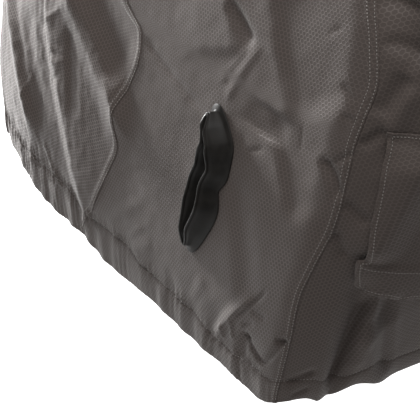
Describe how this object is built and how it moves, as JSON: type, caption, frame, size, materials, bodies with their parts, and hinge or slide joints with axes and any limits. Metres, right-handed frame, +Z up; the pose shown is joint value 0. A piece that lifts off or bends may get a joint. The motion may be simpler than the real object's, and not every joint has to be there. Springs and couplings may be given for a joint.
{
  "type": "motorcycle cover",
  "caption": "Hollow fitted motorcycle cover of dark woven cloth, with drawn-in end hems, sewn panels, a side flap and a black vinyl lock port.",
  "frame": {"origin": "under the top panel, on the inner face of the cloth where the saddle carries the cover", "axes": "+X along the cover towards its tail end, -Y its left side, +Z up"},
  "size_m": [2.2486, 0.9829, 1.1658],
  "materials": {
    "cloth": "matte woven polyester with a fine honeycomb weave and a slight sheen",
    "vinyl": "black vinyl with a soft gloss"
  },
  "bodies": {
    "root": {"front_left": "cloth", "front_right": "cloth", "side_left": "cloth", "side_right": "cloth", "rear_panel": "cloth", "top_panel": "cloth", "lock_port": "vinyl", "flap": "cloth"}
  },
  "joints": []
}
